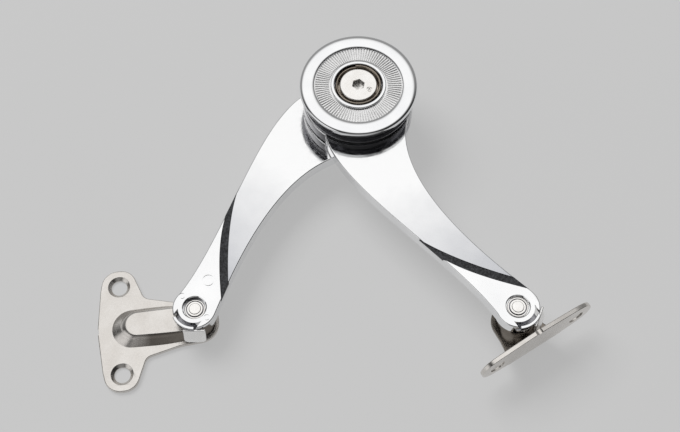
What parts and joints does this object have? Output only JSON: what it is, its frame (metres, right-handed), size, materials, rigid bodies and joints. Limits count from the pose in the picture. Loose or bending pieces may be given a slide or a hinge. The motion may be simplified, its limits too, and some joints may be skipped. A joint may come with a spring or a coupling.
{
  "type": "friction stay hinge",
  "caption": "Folding stay for a furniture flap: curved polished arms stacked on an adjustable friction hub, each clipped to a screw-on bracket by a release button.",
  "frame": {"origin": "middle of the flat bracket's two screw holes, on its back face, where it meets the cabinet panel", "axes": "+Z out of the cabinet panel and along every pivot axis, +X from the flat bracket's screw line towards its pivot, +Y along the screw line"},
  "size_m": [0.1658, 0.1278, 0.0292],
  "materials": {
    "chrome": "mirror-polished chrome on die-cast zinc",
    "nickel": "satin nickel plate on pressed and turned steel",
    "satin_steel": "fine satin, uncoloured",
    "spring_steel": "drawn spring wire and strip",
    "dark_inlay": "dark grain-moulded plastic",
    "dark_nylon": "smooth dark nylon"
  },
  "bodies": {
    "cabinet_bracket": {"cabinet_bracket": "nickel", "cabinet_stud": "nickel", "cabinet_stud_washer": "dark_nylon"},
    "lower_arm": {"lower_arm": "chrome", "lower_inlay": "dark_inlay", "lower_pivot_bush": "nickel", "lower_keeper_plate": "satin_steel", "lower_release_spring": "spring_steel", "hub_base": "chrome", "hub_nut": "satin_steel", "hub_sleeve": "satin_steel", "middle_friction_washer": "dark_nylon", "upper_friction_washer": "dark_nylon", "hub_cap": "chrome", "ribbed_ring": "satin_steel", "bore_bezel": "chrome", "disc_springs": "spring_steel", "pressure_washer": "nickel", "locking_coil": "spring_steel"},
    "lower_release": {"lower_release_slider": "satin_steel", "lower_release_cap": "chrome"},
    "adjusting_screw": {"adjusting_screw": "nickel"},
    "upper_arm": {"upper_arm": "chrome", "upper_inlay": "dark_inlay", "upper_pivot_bush": "nickel", "upper_keeper_plate": "satin_steel", "upper_release_spring": "spring_steel"},
    "upper_release": {"upper_release_slider": "satin_steel", "upper_release_cap": "chrome"},
    "flap_bracket": {"flap_bracket": "nickel", "flap_stud": "nickel", "flap_stud_washer": "dark_nylon"}
  },
  "joints": [
    {"name": "cabinet_pivot", "type": "hinge", "parent": "cabinet_bracket", "child": "lower_arm", "pos_m": [0.0267, 0, 0.0096], "axis": [0, 0, 1], "range_deg": [-10, 95]},
    {"name": "elbow", "type": "hinge", "parent": "lower_arm", "child": "upper_arm", "pos_m": [0.09038, 0.07224, 0.0155], "axis": [0, 0, 1], "range_deg": [-44, 75]},
    {"name": "flap_pivot", "type": "hinge", "parent": "upper_arm", "child": "flap_bracket", "pos_m": [0.1329, -0.01417, 0.0155], "axis": [0, 0, 1], "range_deg": [-75, 85]},
    {"name": "friction_adjustment", "type": "hinge", "parent": "lower_arm", "child": "adjusting_screw", "pos_m": [0.09038, 0.07224, 0.02925], "axis": [0, 0, 1], "range_deg": [-180, 180]},
    {"name": "lower_release_push", "type": "slide", "parent": "lower_arm", "child": "lower_release", "axis": [0.6613, 0.7501, 0], "range_m": [0, 0.0011], "stiffness_N_per_m": 2500, "springref_m": -0.0012, "deforming": ["lower_release_spring"]},
    {"name": "upper_release_push", "type": "slide", "parent": "upper_arm", "child": "upper_release", "axis": [-0.4415, 0.8973, 0], "range_m": [0, 0.0011], "stiffness_N_per_m": 2500, "springref_m": -0.0012, "deforming": ["upper_release_spring"]}
  ]
}
